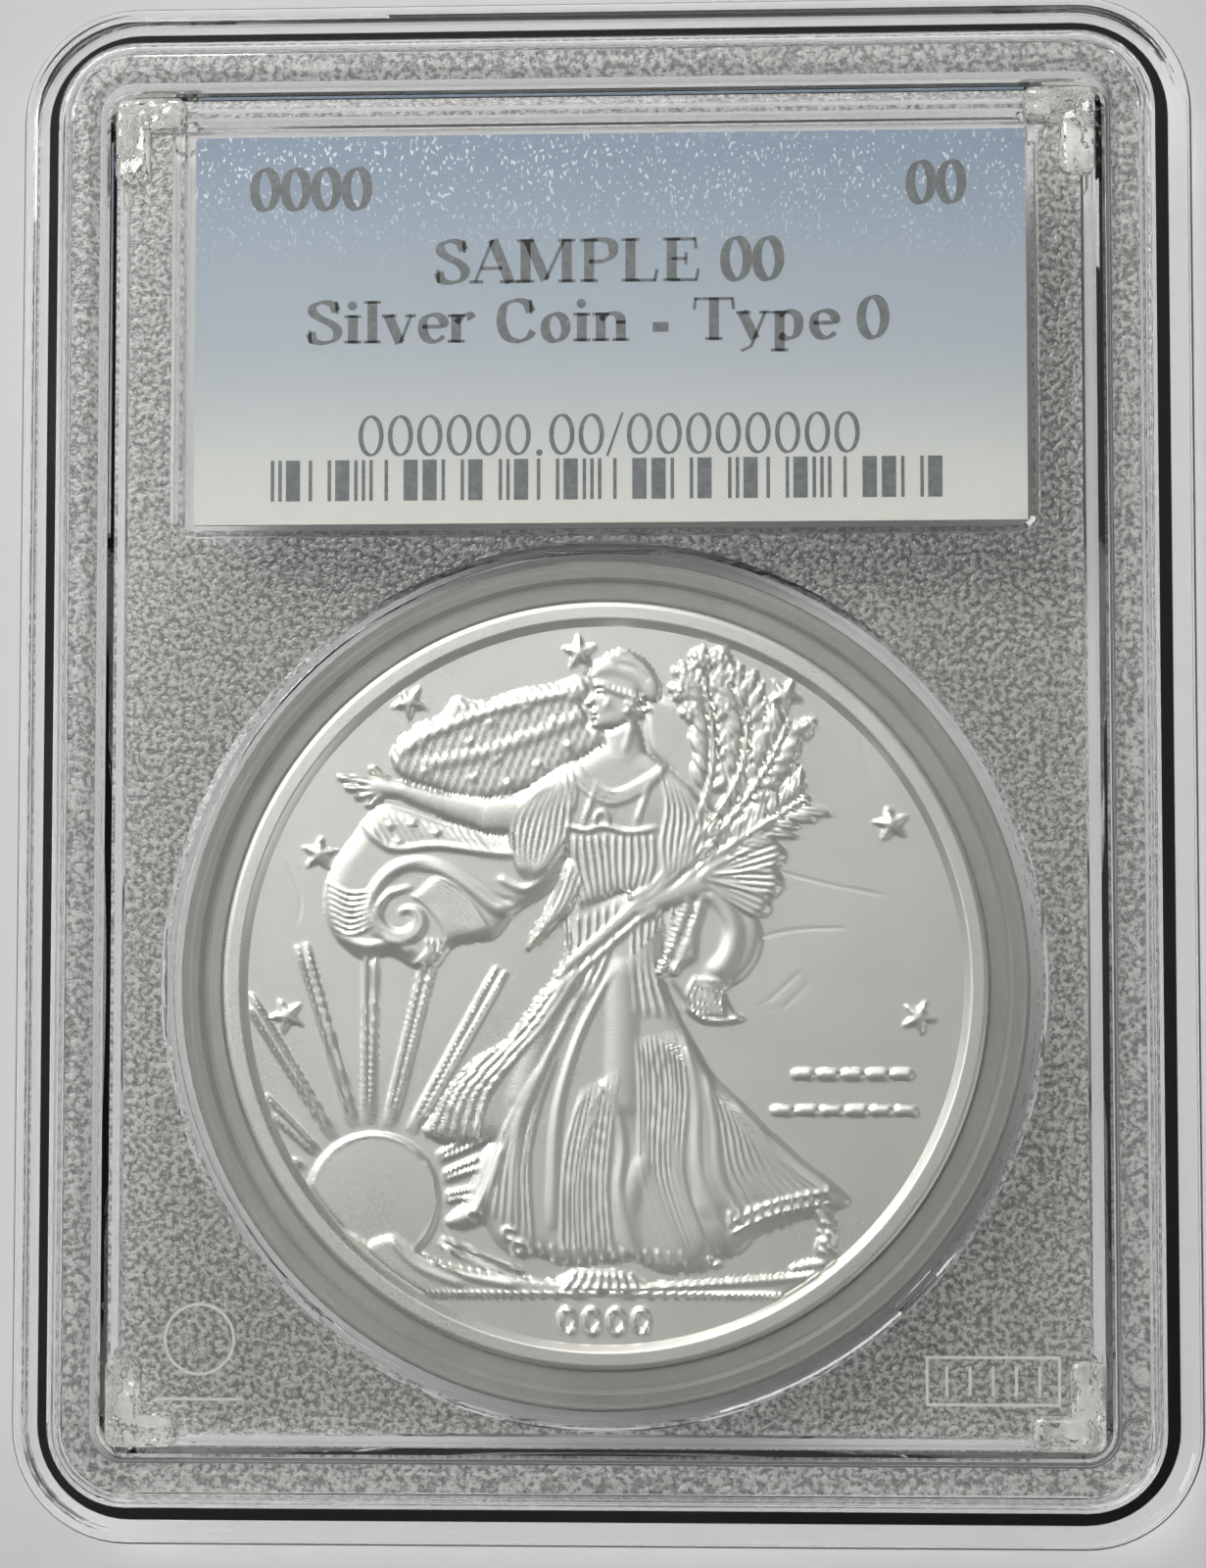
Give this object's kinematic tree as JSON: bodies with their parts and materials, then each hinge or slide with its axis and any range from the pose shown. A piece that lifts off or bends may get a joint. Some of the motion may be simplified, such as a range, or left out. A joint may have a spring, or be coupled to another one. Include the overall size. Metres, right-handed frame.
{
  "type": "graded coin slab",
  "caption": "Flat rectangular clear plastic coin slab with frosted rims, round coin window, label window, coin in a clear ring and paper label sealed inside.",
  "frame": {"origin": "middle of the back, in the plane of the rear rim that the slab lies on", "axes": "+Z out of the front face, +Y towards the label end, +X to the right as the label is read"},
  "size_m": [0.0628, 0.0822, 0.008],
  "materials": {
    "clear_shell": "clear polystyrene, polished windows and channel, frosted panels and rim tops",
    "clear_ring": "clear plastic with a faint yellow-green cast at its edge",
    "coin_silver": "satin struck silver, finely granular field and bright raised relief",
    "label_card": "coated card, blue at the top fading to pale grey",
    "tag_film": "thin carrier film",
    "tag_antenna": "etched foil track",
    "tag_chip": "dull black",
    "security_foil": "diffraction foil"
  },
  "bodies": {
    "holder": {"front_shell": "clear_shell", "rear_shell": "clear_shell", "coin_ring": "clear_ring", "label_card": "label_card", "tag_film": "tag_film", "tag_antenna": "tag_antenna", "tag_chip": "tag_chip", "security_foil": "security_foil"},
    "coin": {"coin": "coin_silver"}
  },
  "joints": [
    {"name": "coin_turn", "type": "hinge", "parent": "holder", "child": "coin", "pos_m": [0, -0.01155, 0.004], "axis": [0, 0, 1], "continuous": true}
  ]
}
